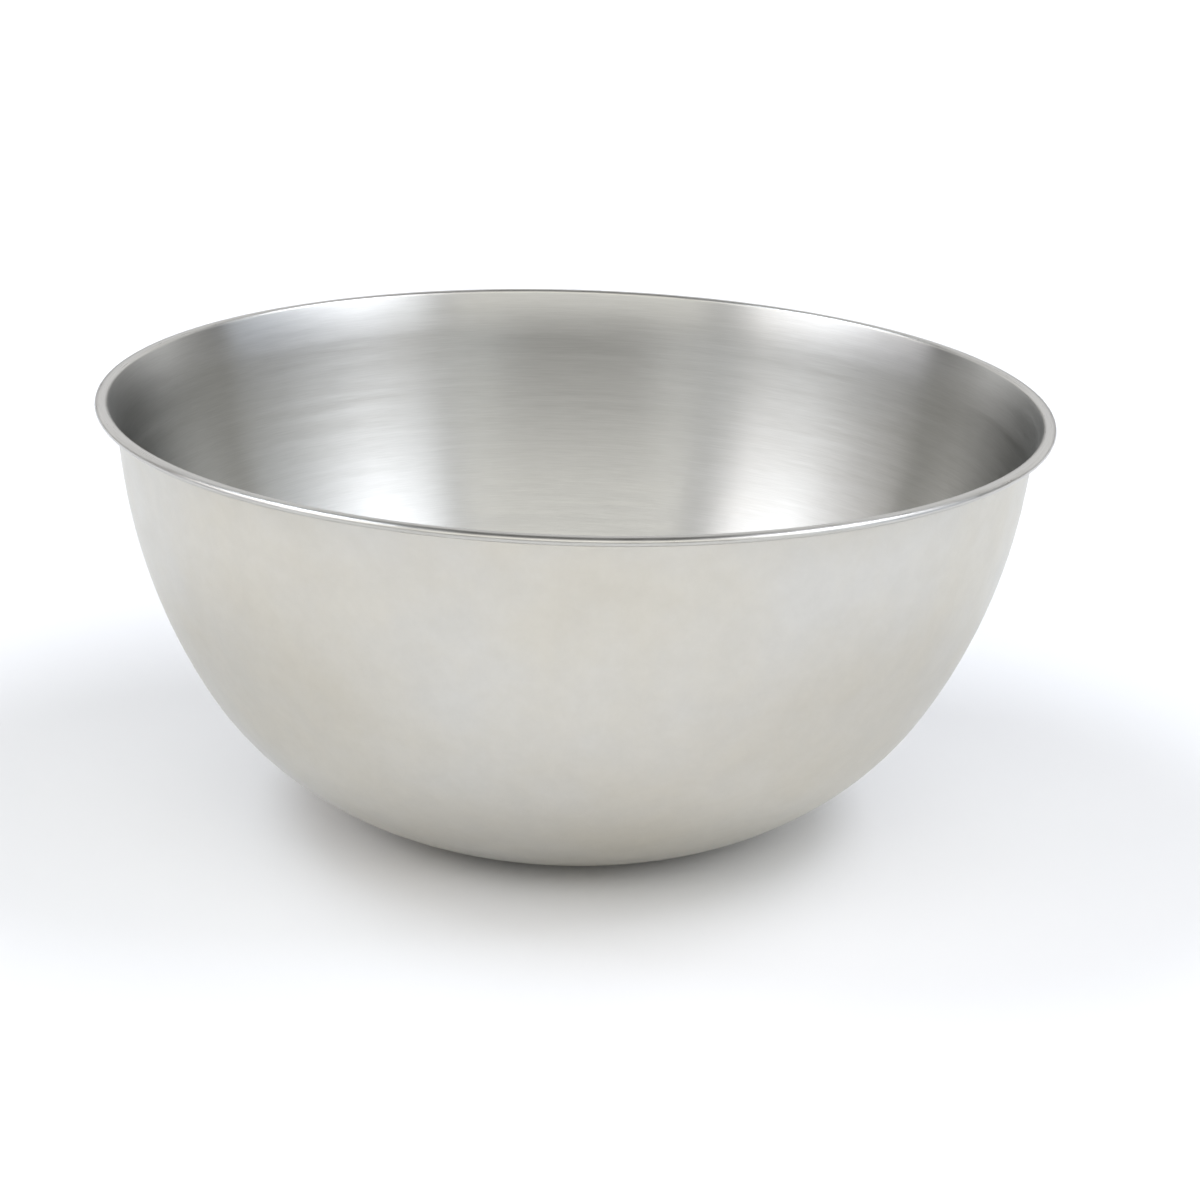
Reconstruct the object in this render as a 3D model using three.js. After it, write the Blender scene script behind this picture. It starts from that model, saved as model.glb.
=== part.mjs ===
// Round mixing bowl: one blank of thin stainless sheet, drawn into a deep bowl. Its wall flares
// out near the top, turns over to a narrow crowned flange, and is rolled under to a hollow bead.
// It is a single piece. Millimetres, +Z up. The origin is the centre of the flat base's underside.

import * as THREE from 'three';

// Driving dimensions
const rimDiameter = 300;        // over the rolled edge
const bowlHeight = 135;         // from the base's underside to the rim's crest
const sheetThickness = 0.6;
const baseDiameter = 110;       // flat part of the base
const kneeRadius = 18;          // bend between the base and the belly
const flareRadius = 54;         // gentle outward bend at the top of the wall
const cornerRadius = 1.1;       // tight bend between the flare and the flange
const crestWidth = 0.7;         // level part of the flange
const crownRadius = 2.6;        // fall of the flange towards the rolled edge
const beadRadius = 0.8;         // bend of the rolled edge

// Slope of the sheet, in degrees from level, where one bend runs into the next
const kneeEndSlope = 17;
const bellyEndSlope = 59;
const wallEndSlope = 84;
const flareEndSlope = 66.5;
const crownEndSlope = -30;
const beadEndSlope = -240;      // the sheet has turned back under itself, and the slot stays open

// Facets
const facetsAround = 64;
const facets = { knee: 3, belly: 6, wall: 5, flare: 3, corner: 3, crown: 2, bead: 7 };

const radians = THREE.MathUtils.degToRad;
const sine = (slope) => Math.sin(radians(slope));
const cosine = (slope) => Math.cos(radians(slope));

// How far the rim reaches out from the end of the wall, and how far it rises above it
const rimReach =
  flareRadius * (sine(wallEndSlope) - sine(flareEndSlope)) +
  cornerRadius * sine(flareEndSlope) +
  crestWidth -
  crownRadius * sine(crownEndSlope) +
  beadRadius * (1 + sine(crownEndSlope)) +
  sheetThickness / 2;
const rimRise =
  flareRadius * (cosine(flareEndSlope) - cosine(wallEndSlope)) +
  cornerRadius * (1 - cosine(flareEndSlope)) +
  sheetThickness / 2;

// The belly and the wall are two tangent arcs. Their radii are the two that carry the middle of
// the sheet from the end of the knee to the start of the flare.
function bellyAndWallRadii() {
  const kneeReach = kneeRadius * sine(kneeEndSlope);
  const kneeRise = kneeRadius * (1 - cosine(kneeEndSlope));
  const across = (rimDiameter - baseDiameter) / 2 - rimReach - kneeReach;
  const up = bowlHeight - sheetThickness / 2 - rimRise - kneeRise;
  const bellyAcross = sine(bellyEndSlope) - sine(kneeEndSlope);
  const bellyUp = cosine(kneeEndSlope) - cosine(bellyEndSlope);
  const wallAcross = sine(wallEndSlope) - sine(bellyEndSlope);
  const wallUp = cosine(bellyEndSlope) - cosine(wallEndSlope);
  const determinant = bellyAcross * wallUp - wallAcross * bellyUp;
  return {
    belly: (across * wallUp - wallAcross * up) / determinant,
    wall: (bellyAcross * up - across * bellyUp) / determinant,
  };
}

// The sheet's section is a strip of even thickness. It is drawn by walking along its middle line,
// from the axis outwards, and leaving one point on its outer and one on its inner face at a time.
class SheetSection {
  constructor(thickness) {
    this.half = thickness / 2;
    this.place = new THREE.Vector2(0, this.half);
    this.slope = 0;
    this.outerFace = [];
    this.innerFace = [];
    this.mark();
  }

  mark() {
    const towardsInner = new THREE.Vector2(-sine(this.slope), cosine(this.slope));
    this.outerFace.push(this.place.clone().addScaledVector(towardsInner, -this.half));
    this.innerFace.push(this.place.clone().addScaledVector(towardsInner, this.half));
  }

  straight(length) {
    this.place.x += length * cosine(this.slope);
    this.place.y += length * sine(this.slope);
    this.mark();
  }

  // Bends the sheet to a new slope: up to a steeper one, or over outwards to a lower one.
  bendTo(endSlope, radius, steps) {
    const startSlope = this.slope;
    const side = Math.sign(endSlope - startSlope);
    const centre = new THREE.Vector2(
      this.place.x - side * radius * sine(startSlope),
      this.place.y + side * radius * cosine(startSlope),
    );
    for (let step = 1; step <= steps; step += 1) {
      this.slope = startSlope + ((endSlope - startSlope) * step) / steps;
      this.place.x = centre.x + side * radius * sine(this.slope);
      this.place.y = centre.y - side * radius * cosine(this.slope);
      this.mark();
    }
  }

  // Out along the outer face and back along the inner one, from the axis to the axis
  outline() {
    return [...this.outerFace, ...this.innerFace.reverse()];
  }
}

function bowlGeometry() {
  const radii = bellyAndWallRadii();
  const sheet = new SheetSection(sheetThickness);
  sheet.straight(baseDiameter / 2);
  sheet.bendTo(kneeEndSlope, kneeRadius, facets.knee);
  sheet.bendTo(bellyEndSlope, radii.belly, facets.belly);
  sheet.bendTo(wallEndSlope, radii.wall, facets.wall);
  sheet.bendTo(flareEndSlope, flareRadius, facets.flare);
  sheet.bendTo(0, cornerRadius, facets.corner);
  sheet.straight(crestWidth);
  sheet.bendTo(crownEndSlope, crownRadius, facets.crown);
  sheet.bendTo(beadEndSlope, beadRadius, facets.bead);

  const geometry = new THREE.LatheGeometry(sheet.outline(), facetsAround);
  geometry.rotateX(Math.PI / 2);  // the lathe turns about Y, and the bowl stands along Z
  return geometry;
}

const satinSteel = new THREE.MeshStandardMaterial({
  color: 0xc9c8c4,
  roughness: 0.34,
  metalness: 1,
});

const bowl = new THREE.Mesh(bowlGeometry(), satinSteel);
bowl.name = 'bowl';

const group = new THREE.Group();
group.add(bowl);

export default group;
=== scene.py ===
"""Studio picture of a satin stainless steel mixing bowl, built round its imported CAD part."""

import math

import bpy
from mathutils import Matrix, Vector


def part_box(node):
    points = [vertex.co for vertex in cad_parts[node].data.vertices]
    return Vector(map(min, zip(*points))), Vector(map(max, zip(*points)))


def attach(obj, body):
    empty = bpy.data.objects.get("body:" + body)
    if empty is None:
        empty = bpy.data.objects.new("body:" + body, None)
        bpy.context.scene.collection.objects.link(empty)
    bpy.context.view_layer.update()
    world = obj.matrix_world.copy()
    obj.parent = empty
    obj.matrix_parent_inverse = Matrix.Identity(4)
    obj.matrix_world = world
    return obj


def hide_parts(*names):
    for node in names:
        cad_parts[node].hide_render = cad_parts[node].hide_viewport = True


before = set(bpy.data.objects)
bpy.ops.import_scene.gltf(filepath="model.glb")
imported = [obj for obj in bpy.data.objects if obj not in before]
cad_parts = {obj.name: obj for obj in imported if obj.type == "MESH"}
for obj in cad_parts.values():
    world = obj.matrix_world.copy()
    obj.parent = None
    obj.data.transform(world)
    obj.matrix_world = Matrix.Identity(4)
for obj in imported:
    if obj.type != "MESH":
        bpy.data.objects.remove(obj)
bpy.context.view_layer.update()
low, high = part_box("bowl")

# ---------------------------------------------------------------- sizes, in metres
RIM_RADIUS = high.x
HEIGHT = high.z
SHEET = 0.0006
BASE_RADIUS = 0.055           # flat part of the base
KNEE_RADIUS = 0.018           # bend between the base and the belly
FLARE_RADIUS = 0.054          # gentle outward bend at the top of the wall
CORNER_RADIUS = 0.0011        # tight bend between the flare and the flange
CREST_WIDTH = 0.0007          # level part of the flange
CROWN_RADIUS = 0.0026         # fall of the flange towards the rolled edge
BEAD_RADIUS = 0.0008          # bend of the rolled edge

# Slope of the sheet, in degrees from level, where one bend runs into the next
KNEE_END_SLOPE = 17.0
BELLY_END_SLOPE = 59.0
WALL_END_SLOPE = 84.0
FLARE_END_SLOPE = 66.5
CROWN_END_SLOPE = -30.0
BEAD_END_SLOPE = -240.0

STEPS_AROUND = 360
STEPS = {
    "base": 8, "knee": 12, "belly": 28, "wall": 24, "flare": 14,
    "corner": 8, "crest": 2, "crown": 8, "bead": 22,
}

# ---------------------------------------------------------------- camera
CAMERA_DISTANCE = 0.967
CAMERA_ELEVATION = 18.7
CAMERA_ROLL = -1.92
CAMERA_ASIDE = 0.0094         # the view is aimed a little to the right of the axis
CAMERA_BELOW = 0.0005         # and a little below half height
CAMERA_AIM = Vector((CAMERA_ASIDE, 0.0, HEIGHT / 2 - CAMERA_BELOW))
LENS = 90.0
SENSOR = 36.0
VIEW_REACH = 20.0


def make_camera():
    """A camera on the -Y side, looking down at the bowl and turned a little about its view line."""
    elevation = math.radians(CAMERA_ELEVATION)
    away = Vector((0.0, -math.cos(elevation), math.sin(elevation)))
    place = Vector((0.0, 0.0, HEIGHT / 2)) + away * CAMERA_DISTANCE
    forward = (CAMERA_AIM - place).normalized()
    turn = Matrix.Rotation(math.radians(CAMERA_ROLL), 3, forward)
    right = turn @ forward.cross(Vector((0.0, 0.0, 1.0))).normalized()
    up = right.cross(forward)
    data = bpy.data.cameras.new("camera")
    data.lens = LENS
    data.sensor_width = SENSOR
    data.clip_end = VIEW_REACH
    camera = bpy.data.objects.new("camera", data)
    axes = Matrix((right, up, -forward)).transposed()
    camera.matrix_world = Matrix.Translation(place) @ axes.to_4x4()
    bpy.context.scene.collection.objects.link(camera)
    bpy.context.scene.camera = camera


make_camera()


# ---------------------------------------------------------------- the bowl's section
def sine(slope):
    return math.sin(math.radians(slope))


def cosine(slope):
    return math.cos(math.radians(slope))


def rim_reach():
    """How far the rim reaches out from the end of the wall."""
    reach = FLARE_RADIUS * (sine(WALL_END_SLOPE) - sine(FLARE_END_SLOPE))
    reach += CORNER_RADIUS * sine(FLARE_END_SLOPE) + CREST_WIDTH
    reach -= CROWN_RADIUS * sine(CROWN_END_SLOPE)
    return reach + BEAD_RADIUS * (1 + sine(CROWN_END_SLOPE)) + SHEET / 2


def rim_rise():
    """How far the rim's crest rises above the end of the wall."""
    rise = FLARE_RADIUS * (cosine(FLARE_END_SLOPE) - cosine(WALL_END_SLOPE))
    return rise + CORNER_RADIUS * (1 - cosine(FLARE_END_SLOPE)) + SHEET / 2


def belly_and_wall_radii():
    """Radii of the two tangent arcs that carry the sheet from the knee to the flare."""
    across = RIM_RADIUS - BASE_RADIUS - rim_reach() - KNEE_RADIUS * sine(KNEE_END_SLOPE)
    up = HEIGHT - SHEET / 2 - rim_rise() - KNEE_RADIUS * (1 - cosine(KNEE_END_SLOPE))
    belly_across = sine(BELLY_END_SLOPE) - sine(KNEE_END_SLOPE)
    belly_up = cosine(KNEE_END_SLOPE) - cosine(BELLY_END_SLOPE)
    wall_across = sine(WALL_END_SLOPE) - sine(BELLY_END_SLOPE)
    wall_up = cosine(BELLY_END_SLOPE) - cosine(WALL_END_SLOPE)
    determinant = belly_across * wall_up - wall_across * belly_up
    belly = (across * wall_up - wall_across * up) / determinant
    wall = (belly_across * up - across * belly_up) / determinant
    return belly, wall


class SheetSection:
    """Walks along the middle of the sheet and leaves a point on each of its faces at every step."""

    def __init__(self):
        self.x = 0.0
        self.z = SHEET / 2
        self.slope = 0.0
        self.outer = []
        self.inner = []
        self.mark()

    def mark(self):
        across = -sine(self.slope) * SHEET / 2
        up = cosine(self.slope) * SHEET / 2
        self.outer.append((self.x - across, self.z - up))
        self.inner.append((self.x + across, self.z + up))

    def straight(self, length, steps):
        for _ in range(steps):
            self.x += length / steps * cosine(self.slope)
            self.z += length / steps * sine(self.slope)
            self.mark()

    def bend_to(self, end_slope, radius, steps):
        start = self.slope
        side = math.copysign(1.0, end_slope - start)
        centre_x = self.x - side * radius * sine(start)
        centre_z = self.z + side * radius * cosine(start)
        for step in range(1, steps + 1):
            self.slope = start + (end_slope - start) * step / steps
            self.x = centre_x + side * radius * sine(self.slope)
            self.z = centre_z - side * radius * cosine(self.slope)
            self.mark()


def bowl_section():
    """The sheet's section, and how many of its points come before the rim's corner."""
    belly, wall = belly_and_wall_radii()
    section = SheetSection()
    section.straight(BASE_RADIUS, STEPS["base"])
    section.bend_to(KNEE_END_SLOPE, KNEE_RADIUS, STEPS["knee"])
    section.bend_to(BELLY_END_SLOPE, belly, STEPS["belly"])
    section.bend_to(WALL_END_SLOPE, wall, STEPS["wall"])
    section.bend_to(FLARE_END_SLOPE, FLARE_RADIUS, STEPS["flare"])
    points_to_rim = len(section.outer)
    section.bend_to(0.0, CORNER_RADIUS, STEPS["corner"])
    section.straight(CREST_WIDTH, STEPS["crest"])
    section.bend_to(CROWN_END_SLOPE, CROWN_RADIUS, STEPS["crown"])
    section.bend_to(BEAD_END_SLOPE, BEAD_RADIUS, STEPS["bead"])
    return section, points_to_rim


# ---------------------------------------------------------------- node helpers
class Nodes:
    """A short way to add and join shader nodes."""

    def __init__(self, tree):
        self.tree = tree
        self.tree.nodes.clear()

    def add(self, kind, **settings):
        node = self.tree.nodes.new(kind)
        for name, value in settings.items():
            setattr(node, name, value)
        return node

    def feed(self, source, socket):
        if isinstance(source, bpy.types.NodeSocket):
            self.tree.links.new(source, socket)
        else:
            socket.default_value = source

    def math(self, operation, first, second):
        node = self.add("ShaderNodeMath", operation=operation)
        for socket, value in zip(node.inputs, (first, second)):
            self.feed(value, socket)
        return node.outputs[0]

    def spread(self, value, low_in, high_in, low_out, high_out):
        node = self.add("ShaderNodeMapRange", clamp=True)
        for socket, given in zip(node.inputs, (value, low_in, high_in, low_out, high_out)):
            self.feed(given, socket)
        return node.outputs[0]

    def noise(self, vector, scale, detail, roughness):
        node = self.add("ShaderNodeTexNoise")
        self.feed(vector, node.inputs["Vector"])
        node.inputs["Scale"].default_value = scale
        node.inputs["Detail"].default_value = detail
        node.inputs["Roughness"].default_value = roughness
        return node.outputs[0]

    def blend(self, amount, first, second):
        node = self.add("ShaderNodeMix", data_type="RGBA")
        self.feed(amount, node.inputs["Factor"])
        for name, value in (("A", first), ("B", second)):
            socket = [s for s in node.inputs if s.name == name and s.type == "RGBA"][0]
            self.feed(value, socket)
        return [s for s in node.outputs if s.type == "RGBA"][0]

    def bump(self, height, strength, distance):
        node = self.add("ShaderNodeBump")
        self.feed(height, node.inputs["Height"])
        node.inputs["Strength"].default_value = strength
        node.inputs["Distance"].default_value = distance
        return node.outputs[0]


# ---------------------------------------------------------------- steels
# A noise is near 0.5 for most of its run, so its middle part is what a colour is spread over.
NOISE_MIDDLE = (0.35, 0.65)
NOISE_BODY = (0.3, 0.7)
SMUDGE_MIDDLE = (0.36, 0.64)

# The radial tangent runs round the axis, as the brushed lines do. A quarter turn lays it across
# them, which is the way that they scatter light.
ACROSS_THE_LINES = 0.25

# How much is reflected at a glancing angle: the inside's lines trap more of it than a satin face.
OUTSIDE_EDGE_TINT = (0.97, 0.985, 1.0, 1)
INSIDE_EDGE_TINT = (0.74, 0.75, 0.76, 1)
RIM_EDGE_TINT = (0.98, 0.98, 1.0, 1)

# Darker and lighter tone of each steel
OUTSIDE_COOL = (0.606, 0.590, 0.550, 1), (0.633, 0.617, 0.577, 1)
OUTSIDE_WARM = (0.600, 0.569, 0.499, 1), (0.626, 0.595, 0.525, 1)
INSIDE_TONES = (0.52, 0.515, 0.493, 1), (0.585, 0.58, 0.558, 1)
RIM_TONES = (0.50, 0.487, 0.452, 1), (0.58, 0.567, 0.532, 1)

# How strongly brushed lines draw a reflection out across themselves
OUTSIDE_ANISOTROPY = 0.15
INSIDE_ANISOTROPY = 0.95
RIM_ANISOTROPY = 0.5

# Least and most roughness of each steel
OUTSIDE_ROUGHNESS = (0.36, 0.42)
INSIDE_ROUGHNESS = (0.29, 0.35)
RIM_ROUGHNESS = (0.27, 0.35)

# Bump distances of the outside's grain and of the inside's lines, in metres
GRAIN_DEPTH = 0.00012
LINE_DEPTH = 0.0001

# How far a ring's marks shift from one side of the bowl to the other: small, so that they run long
INSIDE_SHIFT = 0.006
RIM_SHIFT = 0.004


def steel(name, anisotropy, edge_tint):
    """A metal with its shader in place. Returns the material, its nodes and its shader."""
    material = bpy.data.materials.new(name)
    material.use_nodes = True
    nodes = Nodes(material.node_tree)
    shader = nodes.add("ShaderNodeBsdfPrincipled")
    output = nodes.add("ShaderNodeOutputMaterial")
    nodes.feed(shader.outputs[0], output.inputs["Surface"])
    shader.inputs["Metallic"].default_value = 1.0
    shader.inputs["Specular Tint"].default_value = edge_tint
    shader.inputs["Anisotropic"].default_value = anisotropy
    shader.inputs["Anisotropic Rotation"].default_value = ACROSS_THE_LINES
    tangent = nodes.add("ShaderNodeTangent", direction_type="RADIAL", axis="Z")
    nodes.feed(tangent.outputs[0], shader.inputs["Tangent"])
    return material, nodes, shader


def tone(nodes, noise, tones):
    """Runs from the darker to the lighter tone with a noise."""
    return nodes.blend(nodes.spread(noise, *NOISE_MIDDLE, 0.0, 1.0), *tones)


def ring_vector(nodes, shift):
    """Coordinates for marks left by spinning: fine across the rings and long round the bowl."""
    place = nodes.add("ShaderNodeTexCoord").outputs["Object"]
    parts = nodes.add("ShaderNodeSeparateXYZ")
    nodes.feed(place, parts.inputs[0])
    level = nodes.add("ShaderNodeCombineXYZ")
    nodes.feed(parts.outputs[0], level.inputs[0])
    nodes.feed(parts.outputs[1], level.inputs[1])
    length = nodes.add("ShaderNodeVectorMath", operation="LENGTH")
    nodes.feed(level.outputs[0], length.inputs[0])
    radius = length.outputs["Value"]
    unit = nodes.add("ShaderNodeVectorMath", operation="NORMALIZE")
    nodes.feed(level.outputs[0], unit.inputs[0])
    unit_parts = nodes.add("ShaderNodeSeparateXYZ")
    nodes.feed(unit.outputs[0], unit_parts.inputs[0])
    vector = nodes.add("ShaderNodeCombineXYZ")
    nodes.feed(nodes.math("MULTIPLY", unit_parts.outputs[0], shift), vector.inputs[0])
    nodes.feed(nodes.math("MULTIPLY", unit_parts.outputs[1], shift), vector.inputs[1])
    nodes.feed(nodes.math("ADD", radius, parts.outputs[2]), vector.inputs[2])
    return vector.outputs[0]


def outside_steel():
    """Satin steel: a fine even grain, with broad warm and cool smudges."""
    material, nodes, shader = steel("outside_satin_steel", OUTSIDE_ANISOTROPY, OUTSIDE_EDGE_TINT)
    place = nodes.add("ShaderNodeTexCoord").outputs["Object"]
    grain = nodes.noise(place, scale=1400.0, detail=3.0, roughness=0.6)
    smudge = nodes.noise(place, scale=14.0, detail=5.0, roughness=0.6)
    mottle = nodes.noise(place, scale=110.0, detail=5.0, roughness=0.7)
    cool = tone(nodes, mottle, OUTSIDE_COOL)
    warm = tone(nodes, mottle, OUTSIDE_WARM)
    tint = nodes.blend(nodes.spread(smudge, *SMUDGE_MIDDLE, 0.0, 1.0), cool, warm)
    nodes.feed(tint, shader.inputs["Base Color"])
    patch = nodes.noise(place, scale=60.0, detail=3.0, roughness=0.5)
    nodes.feed(nodes.spread(patch, *NOISE_BODY, *OUTSIDE_ROUGHNESS), shader.inputs["Roughness"])
    nodes.feed(nodes.bump(grain, strength=0.45, distance=GRAIN_DEPTH), shader.inputs["Normal"])
    return material


def inside_steel():
    """Spun steel: fine and broader lines round the axis."""
    material, nodes, shader = steel("inside_spun_steel", INSIDE_ANISOTROPY, INSIDE_EDGE_TINT)
    vector = ring_vector(nodes, INSIDE_SHIFT)
    fine = nodes.noise(vector, scale=2600.0, detail=2.0, roughness=0.5)
    broad = nodes.noise(vector, scale=420.0, detail=3.0, roughness=0.55)
    lines = nodes.math("ADD", nodes.math("MULTIPLY", fine, 0.5), nodes.math("MULTIPLY", broad, 0.5))
    nodes.feed(tone(nodes, lines, INSIDE_TONES), shader.inputs["Base Color"])
    nodes.feed(nodes.spread(broad, *NOISE_BODY, *INSIDE_ROUGHNESS), shader.inputs["Roughness"])
    nodes.feed(nodes.bump(lines, strength=0.32, distance=LINE_DEPTH), shader.inputs["Normal"])
    return material


def rim_steel():
    """Polished steel on the flange and the bead, with faint lines round the axis."""
    material, nodes, shader = steel("rim_polished_steel", RIM_ANISOTROPY, RIM_EDGE_TINT)
    vector = ring_vector(nodes, RIM_SHIFT)
    lines = nodes.noise(vector, scale=3000.0, detail=2.0, roughness=0.5)
    nodes.feed(tone(nodes, lines, RIM_TONES), shader.inputs["Base Color"])
    nodes.feed(nodes.spread(lines, *NOISE_BODY, *RIM_ROUGHNESS), shader.inputs["Roughness"])
    return material


# ---------------------------------------------------------------- the bowl
def revolve(profile, material_of_step):
    """Vertices, faces and a material number for each face, for a profile that starts on the axis
    and comes back to it."""
    vertices = [(0.0, 0.0, profile[0][1])]
    for radius, height in profile[1:-1]:
        for step in range(STEPS_AROUND):
            angle = 2 * math.pi * step / STEPS_AROUND
            vertices.append((radius * math.cos(angle), radius * math.sin(angle), height))
    vertices.append((0.0, 0.0, profile[-1][1]))
    top = len(vertices) - 1
    rings = len(profile) - 2
    faces = []
    numbers = []
    for step in range(STEPS_AROUND):
        after = (step + 1) % STEPS_AROUND
        faces.append((0, 1 + after, 1 + step))
        numbers.append(material_of_step[0])
        for ring in range(rings - 1):
            here = 1 + ring * STEPS_AROUND
            there = here + STEPS_AROUND
            faces.append((here + step, here + after, there + after, there + step))
            numbers.append(material_of_step[ring + 1])
        last = 1 + (rings - 1) * STEPS_AROUND
        faces.append((last + step, last + after, top))
        numbers.append(material_of_step[-1])
    return vertices, faces, numbers


def make_bowl():
    """The bowl as one closed mesh, with a steel for its outside, its inside and its rim."""
    section, points_to_rim = bowl_section()
    profile = section.outer + section.inner[::-1]
    count = len(section.outer)
    outside, inside, rim = 0, 1, 2
    outer_half = [outside] * (points_to_rim - 1) + [rim] * (count - points_to_rim)
    inner_half = [rim] * (count - points_to_rim) + [inside] * (points_to_rim - 1)
    vertices, faces, numbers = revolve(profile, outer_half + [rim] + inner_half)
    mesh = bpy.data.meshes.new("mixing_bowl")
    mesh.from_pydata(vertices, [], faces)
    for material in (outside_steel(), inside_steel(), rim_steel()):
        mesh.materials.append(material)
    mesh.polygons.foreach_set("material_index", numbers)
    mesh.polygons.foreach_set("use_smooth", [True] * len(faces))
    cut_rings = {count - 2, count - 1}   # the two rings round the rolled edge's cut end

    def ring_of(vertex):
        return (vertex - 1) // STEPS_AROUND

    for edge in mesh.edges:
        first, second = (ring_of(v) for v in edge.vertices)
        edge.use_edge_sharp = first == second and first in cut_rings
    mesh.update()
    bowl = bpy.data.objects.new("mixing_bowl", mesh)
    bpy.context.scene.collection.objects.link(bowl)
    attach(bowl, "root")
    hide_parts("bowl")


make_bowl()


# ---------------------------------------------------------------- floor and light
FLOOR_HALF = 6.0
FLOOR_COLOUR = (0.85, 0.85, 0.85, 1)


def make_floor():
    """A pale level sheet for the bowl to stand on."""
    mesh = bpy.data.meshes.new("floor")
    corners = [(FLOOR_HALF * x, FLOOR_HALF * y, 0) for x, y in ((-1, -1), (1, -1), (1, 1), (-1, 1))]
    mesh.from_pydata(corners, [], [(0, 1, 2, 3)])
    material = bpy.data.materials.new("floor_white")
    material.use_nodes = True
    nodes = Nodes(material.node_tree)
    shader = nodes.add("ShaderNodeBsdfDiffuse")
    shader.inputs["Color"].default_value = FLOOR_COLOUR
    output = nodes.add("ShaderNodeOutputMaterial")
    nodes.feed(shader.outputs[0], output.inputs["Surface"])
    mesh.materials.append(material)
    floor = bpy.data.objects.new("floor", mesh)
    bpy.context.scene.collection.objects.link(floor)


LAMP_DISTANCE = 5.0

# Name, azimuth and elevation of the middle, angles that it spans, radiance, colour.
# Azimuth 0 is the camera's side, and positive turns to its right.
SOFTBOXES = [
    ("left_side", -80, 33, 62, 24, 1.85, (0.99, 0.97, 1.00)),
    ("right_side", 77, 33, 68, 24, 1.55, (0.85, 0.91, 1.00)),
    ("left_high", -104, 56, 48, 18, 6.30, (0.83, 0.90, 1.00)),
    ("right_high", 98, 56, 60, 18, 6.20, (0.88, 0.91, 1.00)),
    ("front_top", 0, 41, 74, 14, 1.30, (1.00, 0.99, 0.89)),
    ("left_front", -45, 15, 44, 14, 0.12, (1.00, 1.00, 0.83)),
    ("right_front", 45, 15, 44, 14, 0.12, (1.00, 0.95, 0.74)),
    ("left_low", -80, 4, 50, 12, 0.40, (0.50, 0.63, 1.00)),
    ("right_low", 78, 4, 50, 12, 0.60, (0.47, 0.61, 1.00)),
    ("back", 180, 30, 110, 36, 0.82, (0.97, 0.98, 1.0)),
]

# Strength of the sky: near the horizon, and higher up in front of the bowl and behind it
SKY_LOW = 0.50
SKY_FRONT = 1.22
SKY_BACK = 0.12
# Elevations between which the low sky gives way to the high one
SKY_LOW_TOP = 12.0
SKY_HIGH_START = 24.0
# Places along Y, on a sphere of radius 1, between which the front gives way to the back
SKY_FRONT_END = -0.25
SKY_BACK_START = 0.05


def softbox(name, azimuth, elevation, span_across, span_up, radiance, colour):
    """A rectangular lamp that faces the bowl and looks evenly bright from it."""
    turn = math.radians(azimuth)
    rise = math.radians(elevation)
    away = Vector((math.sin(turn) * math.cos(rise), -math.cos(turn) * math.cos(rise), math.sin(rise)))
    data = bpy.data.lights.new(name, "AREA")
    data.shape = "RECTANGLE"
    data.size = 2 * LAMP_DISTANCE * math.tan(math.radians(span_across / 2)) * math.cos(rise)
    data.size_y = 2 * LAMP_DISTANCE * math.tan(math.radians(span_up / 2))
    data.energy = radiance * math.pi * data.size * data.size_y
    data.color = colour
    lamp = bpy.data.objects.new(name, data)
    centre = Vector((0.0, 0.0, HEIGHT / 2))
    facing = away.to_track_quat("Z", "Y").to_matrix().to_4x4()
    lamp.matrix_world = Matrix.Translation(centre + away * LAMP_DISTANCE) @ facing
    bpy.context.scene.collection.objects.link(lamp)


def make_light():
    """The lamps, and a sky that is dark high up behind the bowl."""
    for settings in SOFTBOXES:
        softbox(*settings)
    world = bpy.data.worlds.new("studio")
    bpy.context.scene.world = world
    world.use_nodes = True
    nodes = Nodes(world.node_tree)
    direction = nodes.add("ShaderNodeTexCoord").outputs["Generated"]
    parts = nodes.add("ShaderNodeSeparateXYZ")
    nodes.feed(direction, parts.inputs[0])
    high = nodes.spread(parts.outputs[1], SKY_FRONT_END, SKY_BACK_START, SKY_FRONT, SKY_BACK)
    rise = nodes.spread(parts.outputs[2], sine(SKY_LOW_TOP), sine(SKY_HIGH_START), 0.0, 1.0)
    low = nodes.math("MULTIPLY", nodes.math("SUBTRACT", 1.0, rise), SKY_LOW)
    strength = nodes.math("ADD", nodes.math("MULTIPLY", rise, high), low)
    background = nodes.add("ShaderNodeBackground")
    nodes.feed(strength, background.inputs["Strength"])
    output = nodes.add("ShaderNodeOutputWorld")
    nodes.feed(background.outputs[0], output.inputs["Surface"])


make_floor()
make_light()
bpy.context.scene.view_settings.view_transform = "Standard"
